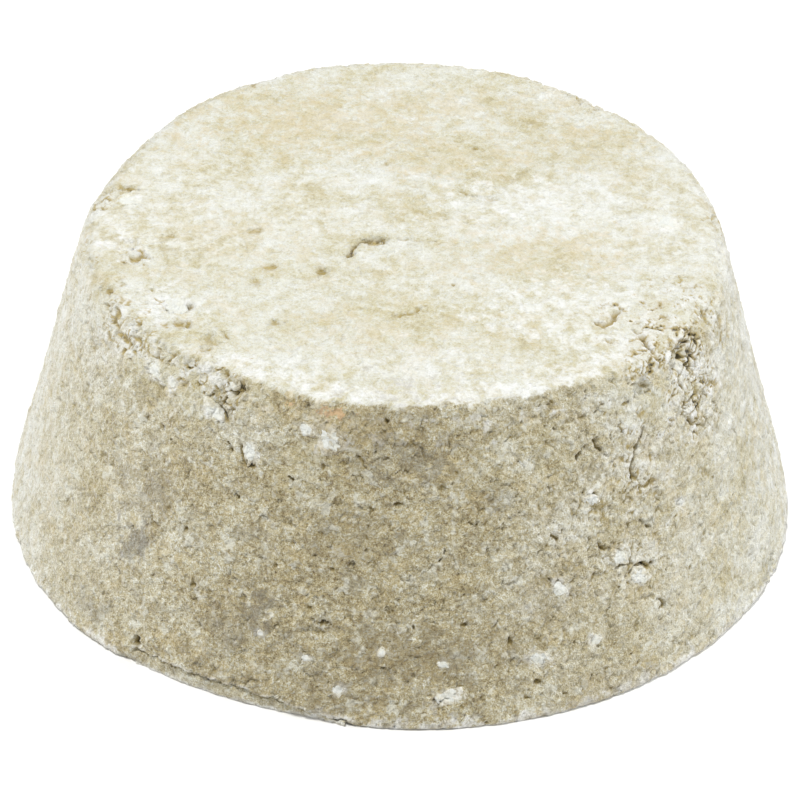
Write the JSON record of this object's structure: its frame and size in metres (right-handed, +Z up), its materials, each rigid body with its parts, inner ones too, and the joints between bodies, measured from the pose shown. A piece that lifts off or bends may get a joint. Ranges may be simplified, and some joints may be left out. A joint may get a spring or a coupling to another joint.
{
  "type": "shaving soap puck",
  "caption": "Round pressed cake of hard shaving soap, a tapered puck with a wide flat foot, a narrower flat top, white flakes and chipped edges.",
  "frame": {"origin": "middle of the flat underside, on the surface the cake stands on", "axes": "+Z up through the narrower top; -Y towards the front of the cake, the side with the split lip at its foot; +X to the right seen from the front"},
  "size_m": [0.059, 0.0601, 0.0237],
  "materials": {
    "soap_skin": "matte",
    "soap_broken": "matte",
    "white_flake": "matte"
  },
  "bodies": {
    "root": {"soap_body": "soap_skin", "left_rim_lump": "soap_broken", "right_rim_lump": "soap_broken", "shoulder_lump": "soap_broken", "shoulder_crumbs": "soap_broken", "rim_crumbs": "soap_broken", "crevice_crumb": "soap_broken", "base_lip": "soap_broken", "front_flake": "white_flake", "brow_flake": "white_flake", "brow_chip": "white_flake", "corner_flake": "white_flake", "left_shoulder_flake": "white_flake", "toe_flake": "white_flake", "skirt_flake": "white_flake", "crack_flake": "white_flake", "left_rim_flake": "white_flake", "left_back_rim_flake": "white_flake", "left_front_rim_flake": "white_flake", "right_rim_flake": "white_flake", "small_flakes": "white_flake"}
  },
  "joints": []
}
